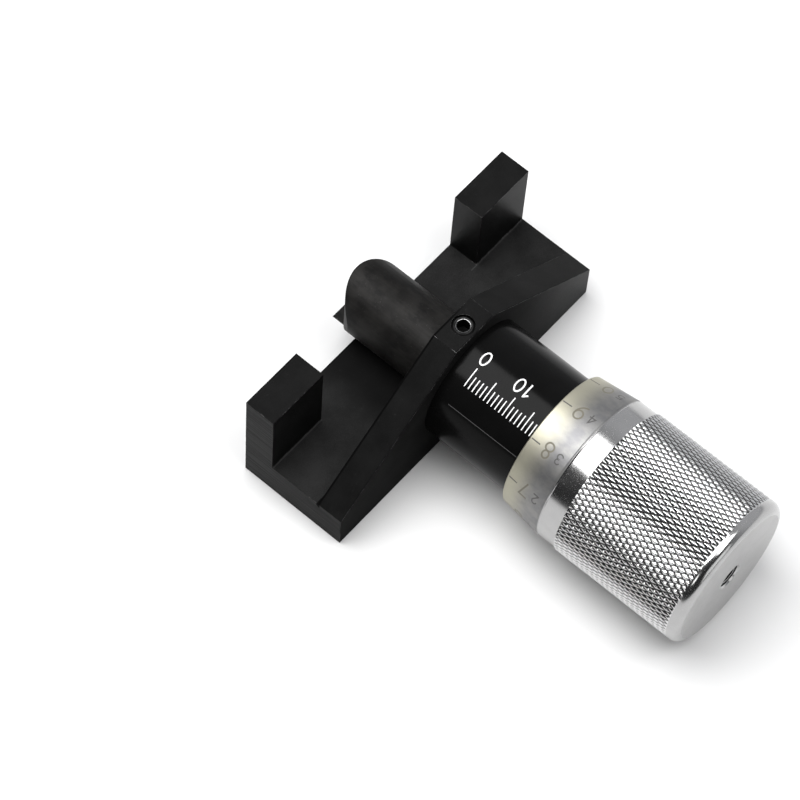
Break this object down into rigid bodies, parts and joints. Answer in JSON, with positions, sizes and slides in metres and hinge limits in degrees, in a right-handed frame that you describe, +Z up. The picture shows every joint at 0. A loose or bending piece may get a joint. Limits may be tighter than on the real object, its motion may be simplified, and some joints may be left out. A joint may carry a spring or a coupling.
{
  "type": "belt tension tester",
  "caption": "Hand-held belt tension tester: slotted steel beam with belt posts, sprung round-nosed plunger and a knurled screw thimble reading on a graduated barrel.",
  "frame": {"origin": "middle of the beam's underside", "axes": "+X along the beam, +Y along the tool axis from thimble to plunger nose, +Z up from the underside"},
  "size_m": [0.08, 0.1008, 0.035],
  "materials": {
    "body_black": "black oxide, satin",
    "barrel_black": "gloss black",
    "plunger_dark": "darkened, satin",
    "chrome": "satin and polished chrome",
    "screw_black": "black oxide",
    "bronze": "turned",
    "spring_steel": "drawn wire",
    "bright_steel": "ground",
    "rubber": "matte",
    "fibre": "hard fibre"
  },
  "bodies": {
    "frame": {"frame_body": "body_black", "scale_barrel": "barrel_black", "barrel_set_screw": "screw_black", "guide_bush": "bronze", "stop_washer": "fibre", "thread_ring": "bronze", "ring_key": "bright_steel", "retaining_ring": "spring_steel"},
    "plunger": {"plunger": "plunger_dark", "plunger_dowel": "bright_steel", "spring_shim": "bright_steel", "main_spring": "spring_steel"},
    "carrier": {"spring_seat": "bright_steel", "thrust_ball": "bright_steel"},
    "thimble": {"thimble": "chrome", "thimble_o_ring": "rubber", "zero_screw": "screw_black", "jam_screw": "screw_black"}
  },
  "joints": [
    {"name": "plunger_slide", "type": "slide", "parent": "frame", "child": "plunger", "axis": [0, -1, 0], "range_m": [0, 0.018], "stiffness_N_per_m": 2500, "springref_m": -0.01, "deforming": ["main_spring"]},
    {"name": "thimble_travel", "type": "slide", "parent": "frame", "child": "carrier", "axis": [0, -1, 0], "range_m": [-0.01781, 0.00721], "deforming": ["main_spring"]},
    {"name": "thimble_turn", "type": "hinge", "parent": "carrier", "child": "thimble", "pos_m": [0, -0.05, 0.0175], "axis": [0, -1, 0], "range_deg": [-6408, 2592]}
  ],
  "couplings": [
    {"joint": "thimble_travel", "follows": "thimble_turn", "m_per_rad": 0.00015915}
  ]
}
